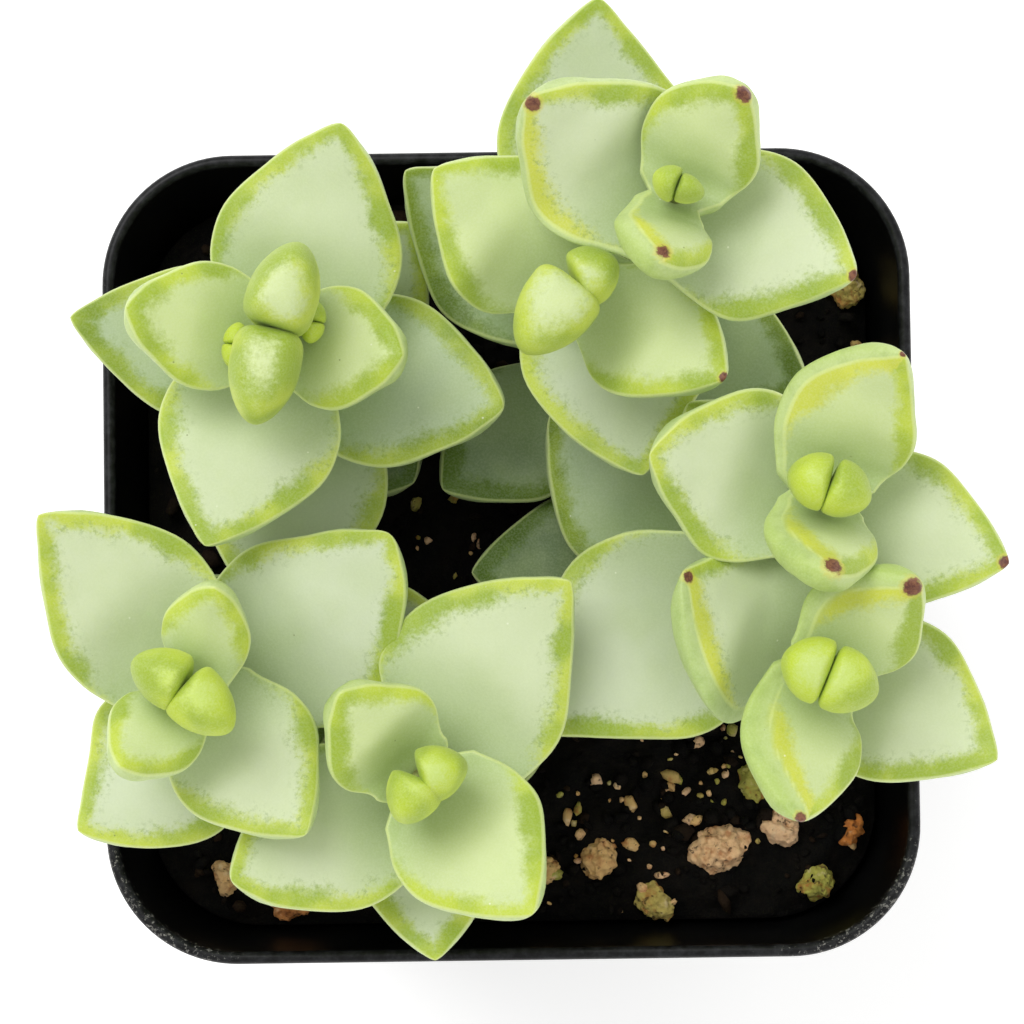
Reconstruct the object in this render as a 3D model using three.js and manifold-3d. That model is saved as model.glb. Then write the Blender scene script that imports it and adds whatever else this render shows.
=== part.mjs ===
// A potted crassula: five fleshy stems in a small square nursery pot, two of them forked.
// Each pair of opposite leaves has grown together round its stem, so a pair is one piece
// with a hole that the stem passes through. Millimetres, +Z up, origin under the middle of the pot.
import * as THREE from "three";
import { mergeVertices } from "three/addons/utils/BufferGeometryUtils.js";
import Module from "manifold-3d";

// ---------------------------------------------------------------- driving dimensions
const GAP = 0.35; // clearance between pieces that touch in the real plant

const POT = {
  height: 55,
  rimHalf: 28.5, // half the width across the rim
  rimCorner: 9.2,
  footHalf: 20.5,
  footCorner: 6.5,
  wall: 0.9,
  floor: 1.4,
  lipDrop: 8, // height of the stiffening band under the rim
  lipOut: 0.5,
  drainRadius: 2.4,
  drainAt: 12.5,
};
const SOIL = { level: 48.6, relief: 0.55, rings: 7 };
const STEM = { rootRadius: 1.4, tipRadius: 0.5, buried: 9, sides: 8, step: 2.2, room: 0.5 };
const CORNER_STEPS = 6;

// A leaf's own proportions: thickness in mm, the rest as shares of the leaf.
const LEAF = {
  thick: 2.5,
  cup: 0.16, // how far the margins stand above the midrib, by half-width
  curl: 0.1, // how far the midrib sags below a straight line, by length
  bow: 0, // how far the midrib swings to the left of a straight line, by length
  roll: 0, // degrees about the midrib, lifting the left edge
  neck: 0.62, // width where it clasps the stem
  broad: 0.42, // where along its length it is widest
};
const ROWS = [0, 0.24, 0.46, 0.68, 0.87]; // sections along a leaf, by its length, before the tip
const ROW_THICKNESS = [0.8, 1, 1, 0.86, 0.56];
const TIP_TAPER = 1.55;
const BUD_CORE = 0.35; // from the middle of a bud to the foot of its leaves
// A leaf's section: sideways by half-width, height by thickness, and by how much it follows the cup.
const SECTION = [
  [1, 0, 1],
  [0.7, 0.06, 0.5],
  [0.26, 0.04, 0.07],
  [-0.26, 0.04, 0.07],
  [-0.7, 0.06, 0.5],
  [-1, 0, 1],
  [-0.74, -0.6, 0.55],
  [-0.28, -1, 0.08],
  [0.28, -1, 0.08],
  [0.74, -0.6, 0.55],
];
const TOP_CELL = 2; // the section's edge over the stem
const BOTTOM_CELL = 7; // and under it

const COLOURS = {
  pot: { color: 0x0b0c0e, roughness: 0.42 },
  soil: { color: 0x15110d, roughness: 0.95 },
  stem: { color: 0x8b9155, roughness: 0.7 },
  leaves: { color: 0xb9cf86, roughness: 0.5 },
  bud: { color: 0xbfd54a, roughness: 0.48 },
  stone: { color: 0xc79a6b, roughness: 0.85 },
};

// ---------------------------------------------------------------- the plants
// A leaf: heading in degrees anticlockwise from +X, then the tip's reach and rise from the stem, and its width.
const leaf = (heading, reach, rise, width, more = {}) => {
  const thick = Math.min(LEAF.thick, 0.3 + 0.37 * width);
  return { ...LEAF, heading, reach, rise, width, thick, ...more };
};

// A pair: where its joint sits on the stem, and its two leaves. A bud is the pair the stem ends under.
const pair = (x, y, z, ...leaves) => ({ at: new THREE.Vector3(x, y, z), leaves, bud: false });
const bud = (x, y, z, ...leaves) => ({ ...pair(x, y, z, ...leaves), bud: true });

// Pairs run upwards from the soil. A forked plant's own pairs are on its trunk, the rest on its heads.
const PLANTS = [
  {
    name: "back_left",
    root: [-12.4, 9.7],
    pairs: [],
    heads: [
      {
        name: "back_left",
        pairs: [
          pair(-13.6, 11.3, 52.6, leaf(-42, 9.5, 2, 9), leaf(143, 9, 1, 8.5)),
          pair(-14.4, 12.3, 57, leaf(-98, 17.6, 3, 13, { bow: 0.03 }), leaf(52, 13.5, 3, 11)),
          pair(-15, 13.2, 61.6, leaf(-15, 15.8, 4.5, 11.4), leaf(169, 15.6, 2, 10.2)),
          pair(-15.5, 13.6, 66.4, leaf(73, 15.9, 4, 12.4), leaf(-110, 15, 3.5, 11.8)),
          pair(-15.6, 13.7, 70.4, leaf(170, 10.3, 4.5, 8.2), leaf(-11, 9.1, 4, 8)),
          bud(-15.6, 13.7, 73.8, leaf(70, 4.8, 6.5, 5.8, { roll: -14 }), leaf(-102, 5.2, 5.5, 5.8)),
        ],
      },
    ],
  },
  {
    name: "front_left",
    root: [-15, -7.4],
    pairs: [],
    heads: [
      {
        name: "front_left",
        pairs: [
          pair(-17.4, -8.8, 54.2, leaf(-70, 6.5, 1, 7.5), leaf(124, 9, 1, 8)),
          pair(-20, -10, 62.6, leaf(-137, 13.7, 1, 11.4, { bow: 0.07 }), leaf(42, 16.6, 5, 12.8, { bow: -0.05 })),
          pair(-21.4, -10, 67.6, leaf(131, 15.9, 4, 11.2, { bow: -0.03 }), leaf(-53, 12.6, 3, 10)),
          pair(-21.7, -10, 71.8, leaf(72, 6.9, 4.5, 5.8), leaf(-129, 6.9, 4, 6.2)),
          bud(-21.7, -9.9, 74.6, leaf(155, 2.9, 3.6, 3.6), leaf(-45, 3.4, 3.6, 3.8)),
        ],
      },
    ],
  },
  {
    name: "front",
    root: [-5.1, -11.1],
    pairs: [],
    heads: [
      {
        name: "front",
        pairs: [
          pair(-5.9, -13, 53.2, leaf(180, 6.5, 1, 7.5), leaf(17, 9.9, 2.5, 9)),
          pair(-6.7, -14.7, 58.4, leaf(-85, 14, 2.5, 10), leaf(93, 12.4, 2, 10)),
          pair(-6.8, -15.5, 64, leaf(49, 16.9, 4.5, 12.8, { bow: 0.04 }), leaf(-150, 15, 3, 11, { bow: 0.04 })),
          pair(-6.4, -16, 68.2, leaf(133, 7.7, 5.5, 8, { cup: 0.38 }), leaf(-51, 12.3, 4, 10.2)),
          bud(-6.1, -16.3, 71.6, leaf(-116, 2.7, 4.5, 3.6), leaf(19, 2.7, 4.5, 3.6)),
        ],
      },
    ],
  },
  {
    name: "back",
    root: [4.8, 9.2],
    pairs: [
      pair(5.3, 11.6, 54.2, leaf(-144, 12.5, 3, 9.4), leaf(36, 10, 2, 9)),
      pair(6.3, 15.6, 60, leaf(142, 16.9, 4.5, 11.4), leaf(-19, 15.5, 2.5, 11.4, { bow: 0.04 })),
      pair(7.8, 19.8, 65.8, leaf(94, 17.2, 4.5, 13.2, { bow: 0.05 }), leaf(-85, 15.9, 3, 13, { bow: -0.06 })),
    ],
    fork: [8.9, 20.6, 70],
    heads: [
      {
        name: "back_right",
        pairs: [
          pair(11, 21.3, 76.2, leaf(145, 12, 6, 11.6, { roll: -22, bow: -0.04 }), leaf(-22, 13.4, 2, 11, { bow: 0.03 })),
          pair(11.3, 21.6, 79.7, leaf(53, 7.7, 6, 7.8, { bow: 0.07 }), leaf(-104, 4.9, 4.5, 6.4, { roll: -14 })),
          bud(11.3, 22, 82.6, leaf(160, 1.4, 3, 2.2), leaf(-24, 1.6, 3, 2.2)),
        ],
      },
      {
        name: "back_middle",
        pairs: [
          pair(5, 16.9, 72.6, leaf(142, 12.6, 2, 10.6), leaf(-36, 12, 3.5, 9.3)),
          bud(4.5, 16.2, 76.4, leaf(27, 2.6, 3.6, 3.6), leaf(-128, 4.4, 4.4, 4.6)),
        ],
      },
    ],
  },
  {
    name: "right",
    root: [10, -0.1],
    pairs: [
      pair(11, 0.1, 52.6, leaf(-174, 14, 3, 9.6), leaf(26, 10, 2, 9)),
      pair(13.4, -0.7, 57, leaf(137, 14.6, 4, 11.4), leaf(-48, 14.8, 1.5, 10)),
      pair(16.6, -2.4, 61, leaf(-145, 18.6, 2, 14.4, { bow: -0.05 }), leaf(29, 14.3, 2.5, 10)),
    ],
    fork: [18.4, -3, 65],
    heads: [
      {
        name: "right_back",
        pairs: [
          pair(19.9, 0.2, 69.2, leaf(132, 11.8, 2.5, 9.4), leaf(-25, 10, 1, 8.6)),
          pair(20.6, 1.7, 74, leaf(165, 12.1, 4, 11.2, { roll: -8, bow: -0.05 }), leaf(-19, 13.5, 2, 10)),
          pair(20.8, 2.1, 77.8, leaf(59, 10, 6.5, 8.8, { bow: 0.07 }), leaf(-87, 5.9, 6.2, 7.4, { roll: -20, bow: -0.04 })),
          bud(21, 2.4, 81, leaf(168, 2.4, 3.8, 3.6), leaf(-27, 2.4, 3.8, 3.6)),
        ],
      },
      {
        name: "right_front",
        pairs: [
          pair(20.3, -8.3, 71, leaf(149, 10.5, 6, 12, { roll: 18, bow: 0.08 }), leaf(-31, 14.3, 2, 10.8)),
          pair(20.6, -9.7, 75.6, leaf(42, 8.5, 5, 7.8, { roll: 16, bow: 0.05 }), leaf(-100, 10.2, 4.2, 8.2, { roll: -18, bow: -0.04 })),
          bud(20.8, -10.2, 78.8, leaf(155, 2.8, 3.8, 4.2), leaf(-21, 2.8, 3.8, 4.2)),
        ],
      },
    ],
  },
];

// Two tiny shoots in the crook of the back-left plant's top pair of leaves.
const SIDE_SHOOTS = [
  bud(-18.2, 13, 72.5, leaf(80, 1.3, 1.2, 1.7), leaf(-100, 1.3, 1.2, 1.7)),
  bud(-13, 14.5, 72.5, leaf(80, 1.2, 1.2, 1.6), leaf(-100, 1.2, 1.2, 1.6)),
];

// Pumice bits lying in the soil: place, then half-length, half-width and half-height, and turn in degrees.
const stone = (name, x, y, long, wide, tall, turn) => ({ name, x, y, long, wide, tall, turn });
const STONES = [
  stone("a", 14.6, -20.8, 2.2, 1.6, 1.5, 20),
  stone("b", 6, -21.4, 1.6, 1.2, 1.1, 70),
  stone("c", 18.9, -19.3, 1.5, 1.2, 1.1, 130),
  stone("d", -15.5, -24.1, 1.9, 1.2, 1.2, 10),
  stone("e", 24, -19.6, 1.1, 0.9, 0.9, 60),
  stone("f", 17.1, -16.1, 1.5, 1.1, 1, 95),
  stone("g", 2, -22.2, 1.3, 1, 0.9, 0),
  stone("h", 0.6, -14.4, 1.2, 0.9, 0.9, 60),
  stone("i", 10, -24.6, 1.5, 1.1, 1, 150),
  stone("j", 21.4, -23.4, 1.4, 1.1, 1, 30),
  stone("k", -20.4, -22.4, 1.3, 1, 0.9, 110),
  stone("l", 24.4, 19.1, 1.4, 1.1, 1, 75),
];

// ---------------------------------------------------------------- solids
const wasm = await Module();
wasm.setup();
const UP = new THREE.Vector3(0, 0, 1);

/** A closed geometry as a manifold-3d solid. */
function toSolid(geometry) {
  const bare = new THREE.BufferGeometry().setAttribute("position", geometry.getAttribute("position"));
  if (geometry.index) bare.setIndex(geometry.index);
  const merged = mergeVertices(bare, 1e-4);
  return new wasm.Manifold(
    new wasm.Mesh({
      numProp: 3,
      vertProperties: merged.attributes.position.array,
      triVerts: new Uint32Array(merged.index.array),
    }),
  );
}

function toGeometry(solid) {
  const { vertProperties, triVerts } = solid.getMesh();
  const geometry = new THREE.BufferGeometry();
  geometry.setAttribute("position", new THREE.BufferAttribute(vertProperties, 3));
  geometry.setIndex(new THREE.BufferAttribute(triVerts, 1));
  return geometry;
}

/** A closed skin from points and triangles, turned to face outwards. */
function skin(points, triangles) {
  let volume = 0;
  for (const [a, b, c] of triangles) {
    volume += points[a].dot(new THREE.Vector3().crossVectors(points[b], points[c]));
  }
  const faces = volume < 0 ? triangles.map(([a, b, c]) => [a, c, b]) : triangles;
  const geometry = new THREE.BufferGeometry().setFromPoints(points);
  geometry.setIndex(faces.flat());
  return geometry;
}

/** Triangles joining two rings of equal length, leaving out the sides named in skipped. */
function joinRings(from, to, skipped = []) {
  const made = [];
  for (let i = 0; i < from.length; i++) {
    const next = (i + 1) % from.length;
    if (skipped.includes(i)) continue;
    made.push([from[i], from[next], to[next]], [from[i], to[next], to[i]]);
  }
  return made;
}

/** A closed loft through rings of points, its two ends closed on their middles. */
function loft(rings) {
  const points = rings.flat();
  const indices = rings.map((ring, r) => ring.map((_, i) => r * ring.length + i));
  const triangles = [];
  for (let r = 0; r + 1 < rings.length; r++) triangles.push(...joinRings(indices[r], indices[r + 1]));
  for (const [ring, reversed] of [
    [indices[0], true],
    [indices.at(-1), false],
  ]) {
    const middle = points.length;
    points.push(ring.reduce((sum, i) => sum.add(points[i]), new THREE.Vector3()).divideScalar(ring.length));
    ring.forEach((a, i) => {
      const b = ring[(i + 1) % ring.length];
      triangles.push(reversed ? [b, a, middle] : [a, b, middle]);
    });
  }
  return skin(points, triangles);
}

function roundedSquare(half, corner, z) {
  const ring = [];
  for (let side = 0; side < 4; side++) {
    const turn = (side * Math.PI) / 2;
    const middle = new THREE.Vector2(half - corner, half - corner).rotateAround(new THREE.Vector2(), turn);
    for (let i = 0; i <= CORNER_STEPS; i++) {
      const angle = turn + (i / CORNER_STEPS) * (Math.PI / 2);
      ring.push(
        new THREE.Vector3(middle.x + corner * Math.cos(angle), middle.y + corner * Math.sin(angle), z),
      );
    }
  }
  return ring;
}

// ---------------------------------------------------------------- pot and soil
const mix = THREE.MathUtils.lerp;
const potHalf = (z) => mix(POT.footHalf, POT.rimHalf - POT.lipOut, z / POT.height);
const potCorner = (z) => mix(POT.footCorner, POT.rimCorner, z / POT.height);

function potGeometry() {
  const { height, wall, floor, lipDrop, lipOut, rimHalf, rimCorner } = POT;
  const chamfer = 0.5;
  const lipFoot = height - lipDrop;
  const outer = (z, out = 0) => roundedSquare(potHalf(z) + out, potCorner(z) + out, z);
  const shell = loft([
    outer(0, -chamfer),
    outer(chamfer),
    outer(lipFoot - lipOut),
    outer(lipFoot, lipOut),
    roundedSquare(rimHalf, rimCorner, height - chamfer),
    roundedSquare(rimHalf - chamfer, rimCorner - chamfer, height),
    roundedSquare(rimHalf - wall - lipOut, rimCorner - wall - lipOut, height - chamfer / 2),
    outer(lipFoot, -wall),
    outer(floor, -wall),
  ]);
  let pot = toSolid(shell);
  for (const x of [-POT.drainAt, POT.drainAt]) {
    for (const y of [-POT.drainAt, POT.drainAt]) {
      const hole = new THREE.CylinderGeometry(POT.drainRadius, POT.drainRadius, 4 * floor, 16);
      hole.rotateX(Math.PI / 2).translate(x, y, 0);
      pot = pot.subtract(toSolid(hole));
    }
  }
  return toGeometry(pot);
}

/** Height of the lumpy soil above its mean level. */
const lumps = (x, y) =>
  SOIL.relief *
  (Math.sin(0.61 * x + 1.1) * Math.cos(0.53 * y - 0.4) + 0.6 * Math.sin(1.13 * x - 0.9 * y + 2) + 0.3);

function soilSolid(holes) {
  const inside = (z) => roundedSquare(potHalf(z) - POT.wall - GAP, potCorner(z) - POT.wall - GAP, z);
  const floorZ = POT.floor + GAP;
  const rings = [inside(floorZ), inside(POT.height - POT.lipDrop - GAP)];
  const edge = inside(SOIL.level - 0.8);
  for (let r = 0; r < SOIL.rings; r++) {
    const share = 1 - r / SOIL.rings;
    rings.push(
      edge.map(({ x, y, z }) =>
        new THREE.Vector3(x * share, y * share, r ? SOIL.level + lumps(x * share, y * share) : z),
      ),
    );
  }
  return holes.reduce((soil, hole) => soil.subtract(hole), toSolid(loft(rings)));
}

// ---------------------------------------------------------------- stems
/** A tapering round stem along a curve, fattened by extra. */
function stemSolid(curve, endZ, extra = 0) {
  const steps = Math.max(4, Math.round(curve.getLength() / STEM.step));
  const rings = [];
  for (let i = 0; i <= steps; i++) {
    const share = i / steps;
    const middle = curve.getPointAt(share);
    const along = curve.getTangentAt(share);
    const side = new THREE.Vector3(0, 1, 0).cross(along).normalize();
    const front = new THREE.Vector3().crossVectors(along, side);
    const radius = stemRadius(middle.z, endZ) + extra;
    if (extra && i === 0) middle.addScaledVector(along, -extra);
    rings.push(
      Array.from({ length: STEM.sides }, (_, k) => {
        const angle = (k / STEM.sides) * 2 * Math.PI;
        return middle
          .clone()
          .addScaledVector(side, radius * Math.cos(angle))
          .addScaledVector(front, radius * Math.sin(angle));
      }),
    );
  }
  return toSolid(loft(rings));
}

/** Direction of a curve where it passes closest to a point. */
function tangentNear(curve, point) {
  const steps = 200;
  let best = 0;
  for (let i = 0; i <= steps; i++) {
    const nearer = curve.getPoint(i / steps).distanceTo(point) < curve.getPoint(best).distanceTo(point);
    if (nearer) best = i / steps;
  }
  return curve.getTangent(best);
}

// ---------------------------------------------------------------- leaf pairs
const leafOutline = (s, { neck, broad }) =>
  s < broad
    ? mix(neck, 1, Math.sin((Math.PI / 2) * (s / broad)))
    : 1 - ((s - broad) / (1 - broad)) ** TIP_TAPER;

/** Rows of ten points along one leaf, from the stem outwards, and its tip. */
function leafRows(shape, joint, outward, axis, holeHalf) {
  const angle = THREE.MathUtils.degToRad(shape.heading);
  const flat = new THREE.Vector3(Math.cos(angle), Math.sin(angle), 0);
  const tip = joint.clone().addScaledVector(flat, shape.reach).addScaledVector(UP, shape.rise);
  const start = joint.clone().addScaledVector(outward, holeHalf);
  const chord = tip.clone().sub(start);
  const length = chord.length();
  const level = UP.clone().cross(flat);
  const face = new THREE.Vector3().crossVectors(chord, level).normalize();
  const bend = start.clone().lerp(tip, 0.5).addScaledVector(face, -2 * shape.curl * length);
  bend.addScaledVector(level, 2 * shape.bow * length);
  const midrib = new THREE.QuadraticBezierCurve3(start, bend, tip);
  const rootSide = new THREE.Vector3().crossVectors(axis, outward);
  const rows = ROWS.map((s, r) => {
    const middle = midrib.getPoint(s);
    const along = r ? midrib.getTangent(s) : outward.clone();
    const turned = level.clone().applyAxisAngle(along, THREE.MathUtils.degToRad(shape.roll));
    const side = rootSide.clone().lerp(turned, Math.min(1, 2.2 * s));
    side.addScaledVector(along, -side.dot(along)).normalize();
    const up = new THREE.Vector3().crossVectors(along, side);
    const half = (shape.width / 2) * leafOutline(s, shape);
    const thick = shape.thick * ROW_THICKNESS[r];
    return SECTION.map(([across, height, follow], i) => {
      const inner = [TOP_CELL, TOP_CELL + 1, BOTTOM_CELL, BOTTOM_CELL + 1].includes(i);
      const reach = r === 0 && inner ? Math.sign(across) * holeHalf : across * half;
      return middle
        .clone()
        .addScaledVector(side, reach)
        .addScaledVector(up, height * thick + follow * shape.cup * half);
    });
  });
  return { rows, tip };
}

/** A pair of opposite leaves grown together, pierced for the stem unless it is the bud at the top. */
function pairGeometry({ at, leaves, bud: closed }, axis, stemRadius) {
  const holeHalf = closed ? BUD_CORE : stemRadius + STEM.room;
  const toward = ({ heading }) => {
    const angle = THREE.MathUtils.degToRad(heading);
    return new THREE.Vector3(Math.cos(angle), Math.sin(angle), 0);
  };
  const outward = toward(leaves[0]).sub(toward(leaves[1]));
  outward.addScaledVector(axis, -outward.dot(axis)).normalize();
  const points = [];
  const triangles = [];
  const jointRings = leaves.map((shape, i) => {
    const direction = outward.clone().multiplyScalar(i ? -1 : 1);
    const { rows, tip } = leafRows(shape, at, direction, axis, holeHalf);
    const rings = rows.map((row) => row.map((point) => points.push(point) - 1));
    const tipIndex = points.push(tip) - 1;
    for (let r = 0; r + 1 < rings.length; r++) triangles.push(...joinRings(rings[r], rings[r + 1]));
    const last = rings.at(-1);
    last.forEach((a, k) => triangles.push([a, last[(k + 1) % last.length], tipIndex]));
    return rings[0];
  });
  const [near, far] = jointRings;
  const facing = far.map((_, i) => far[(SECTION.length / 2 - i + SECTION.length) % SECTION.length]);
  triangles.push(...joinRings(facing, near, closed ? [] : [TOP_CELL, BOTTOM_CELL]));
  if (!closed) {
    const rim = [near[TOP_CELL], near[TOP_CELL + 1], facing[TOP_CELL + 1], facing[TOP_CELL]];
    const foot = [near[BOTTOM_CELL + 1], near[BOTTOM_CELL], facing[BOTTOM_CELL], facing[BOTTOM_CELL + 1]];
    triangles.push(...joinRings(foot, rim));
  }
  return skin(points, triangles);
}

// ---------------------------------------------------------------- stones
/** A rough pebble, enlarged by extra, sunk to its waist in the soil. */
function stoneGeometry({ x, y, long, wide, tall, turn }, extra = 0) {
  const pebble = mergeVertices(new THREE.IcosahedronGeometry(1, 1).deleteAttribute("normal").deleteAttribute("uv"));
  const at = pebble.getAttribute("position");
  const point = new THREE.Vector3();
  for (let i = 0; i < at.count; i++) {
    point.fromBufferAttribute(at, i);
    const knobs = Math.sin(2.9 * point.x + x) * Math.sin(3.1 * point.y + y) * Math.cos(2.7 * point.z + turn);
    point.multiplyScalar(1 + 0.22 * knobs);
    at.setXYZ(i, point.x, point.y, point.z);
  }
  pebble.scale(long + extra, wide + extra, tall + extra);
  pebble.rotateZ(THREE.MathUtils.degToRad(turn));
  pebble.translate(x, y, SOIL.level + lumps(x, y) + 0.25 * tall);
  return pebble;
}

// ---------------------------------------------------------------- assembly
const part = new THREE.Group();
part.name = "potted_crassula";

function addNode(name, geometry, look) {
  const mesh = new THREE.Mesh(geometry, new THREE.MeshStandardMaterial({ metalness: 0, ...COLOURS[look] }));
  mesh.name = name;
  part.add(mesh);
}

/** Radius of a stem at height z, from its root up to the height where it ends. */
const stemRadius = (z, endZ) => {
  const share = (z - SOIL.level) / (endZ - SOIL.level);
  return mix(STEM.rootRadius, STEM.tipRadius, THREE.MathUtils.clamp(share, 0, 1));
};

/** The stem's way through its pairs, ending just under the bud. */
function stemCurve(start, pairs) {
  const top = pairs.at(-1);
  const end = top.at.clone();
  end.z -= ROW_THICKNESS[0] * LEAF.thick + GAP;
  const points = [...start, ...pairs.slice(0, -1).map(({ at }) => at), end];
  return new THREE.CatmullRomCurve3(points, false, "centripetal");
}

const holes = [];
for (const plant of PLANTS) {
  const foot = new THREE.Vector3(...plant.root, SOIL.level);
  const buried = foot.clone().setZ(SOIL.level - STEM.buried);
  const trunk = [buried, foot, ...plant.pairs.map(({ at }) => at)];
  if (plant.fork) trunk.push(new THREE.Vector3(...plant.fork));
  const endZ = Math.max(...plant.heads.map(({ pairs }) => pairs.at(-1).at.z));
  const curves = plant.heads.map(({ pairs }, i) => stemCurve(i ? trunk.slice(-1) : trunk, pairs));
  const stems = curves.map((curve) => stemSolid(curve, endZ));
  addNode(`stem_${plant.name}`, toGeometry(stems.reduce((whole, branch) => whole.add(branch))), "stem");
  holes.push(stemSolid(curves[0], endZ, GAP));
  const trunkPairs = plant.pairs.map((each) => [each, curves[0], plant.name]);
  const headPairs = plant.heads.flatMap(({ name, pairs }, i) => pairs.map((each) => [each, curves[i], name]));
  const counts = {};
  for (const [each, curve, name] of [...trunkPairs, ...headPairs]) {
    const label = each.bud ? "bud" : "leaves";
    const key = `${label}_${name}`;
    counts[key] = (counts[key] ?? 0) + 1;
    const axis = each.bud ? curve.getTangent(1) : tangentNear(curve, each.at);
    addNode(each.bud ? key : `${key}_${counts[key]}`, pairGeometry(each, axis, stemRadius(each.at.z, endZ)), label);
  }
}
SIDE_SHOOTS.forEach((each, i) => addNode(`side_shoot_${i + 1}`, pairGeometry(each, UP, 0), "bud"));
for (const each of STONES) {
  addNode(`stone_${each.name}`, stoneGeometry(each), "stone");
  holes.push(toSolid(stoneGeometry(each, GAP)));
}
addNode("soil", toGeometry(soilSolid(holes)), "soil");
addNode("pot", potGeometry(), "pot");

export default part;
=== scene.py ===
"""Looks for a potted crassula: fleshy leaf pairs on short stems, in gritty soil in a square black pot."""
import math
import random

import bmesh
import bpy
import numpy as np
from mathutils import Matrix, Vector, noise


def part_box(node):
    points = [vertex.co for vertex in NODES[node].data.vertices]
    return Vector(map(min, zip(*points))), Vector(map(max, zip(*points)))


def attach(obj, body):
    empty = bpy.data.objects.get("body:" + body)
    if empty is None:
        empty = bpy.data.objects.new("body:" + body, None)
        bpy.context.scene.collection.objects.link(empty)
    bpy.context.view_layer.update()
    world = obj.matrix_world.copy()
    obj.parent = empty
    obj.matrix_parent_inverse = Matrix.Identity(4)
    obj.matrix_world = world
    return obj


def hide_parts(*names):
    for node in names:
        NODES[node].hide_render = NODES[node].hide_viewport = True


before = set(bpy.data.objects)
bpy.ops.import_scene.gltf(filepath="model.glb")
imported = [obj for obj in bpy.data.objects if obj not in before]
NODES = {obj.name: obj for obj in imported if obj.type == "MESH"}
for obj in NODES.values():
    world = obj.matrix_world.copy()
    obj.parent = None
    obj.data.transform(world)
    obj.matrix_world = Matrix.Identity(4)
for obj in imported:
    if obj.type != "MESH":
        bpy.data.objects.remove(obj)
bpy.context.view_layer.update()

MM = 0.001


# ------------------------------------------------------------------ camera and light
ELEVATION = math.radians(85.5)
ROLL = math.radians(0.8)
DISTANCE = 0.38
LENS = 190.1
AIM = Vector((0.0002, 0.0029, 0.055))


def add_camera():
    back = Vector((0, -math.cos(ELEVATION), math.sin(ELEVATION)))
    side = Vector((1, 0, 0)) * math.cos(ROLL) - (-back).cross(Vector((-1, 0, 0))) * math.sin(ROLL)
    up = back.cross(side)
    camera = bpy.data.objects.new("camera", bpy.data.cameras.new("camera"))
    turned = Matrix((side, up, back)).transposed().to_4x4()
    camera.matrix_world = Matrix.Translation(AIM + back * DISTANCE) @ turned
    camera.data.lens = LENS
    camera.data.sensor_width = 36
    camera.data.clip_start = 0.01
    bpy.context.scene.collection.objects.link(camera)
    bpy.context.scene.camera = camera


def add_area_light(name, at, size, energy, colour=(1, 1, 1)):
    light = bpy.data.lights.new(name, "AREA")
    light.shape = "DISK"
    light.size = size
    light.energy = energy
    light.color = colour
    holder = bpy.data.objects.new(name, light)
    holder.location = at
    holder.rotation_euler = (Vector((0, 0, 0.06)) - Vector(at)).to_track_quat("-Z", "Y").to_euler()
    bpy.context.scene.collection.objects.link(holder)


def add_world():
    world = bpy.data.worlds.new("studio")
    world.use_nodes = True
    sky = world.node_tree.nodes["Background"]
    sky.inputs["Color"].default_value = (1, 1, 1, 1)
    sky.inputs["Strength"].default_value = 0.7
    bpy.context.scene.world = world


def add_floor():
    bpy.ops.mesh.primitive_plane_add(size=6, location=(0, 0, 0))
    floor = bpy.context.object
    floor.name = "floor"
    material = bpy.data.materials.new("floor")
    material.use_nodes = True
    shader = material.node_tree.nodes["Principled BSDF"]
    shader.inputs["Base Color"].default_value = (0.9, 0.9, 0.89, 1)
    shader.inputs["Roughness"].default_value = 0.85
    shader.inputs["Emission Color"].default_value = (1, 1, 1, 1)
    shader.inputs["Emission Strength"].default_value = 0.42
    floor.data.materials.append(material)


# ------------------------------------------------------------------ materials
def linear(red, green, blue):
    """An sRGB colour out of 255 as linear RGBA."""

    def one(c):
        c /= 255
        return c / 12.92 if c <= 0.04045 else ((c + 0.055) / 1.055) ** 2.4

    return (one(red), one(green), one(blue), 1)


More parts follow.
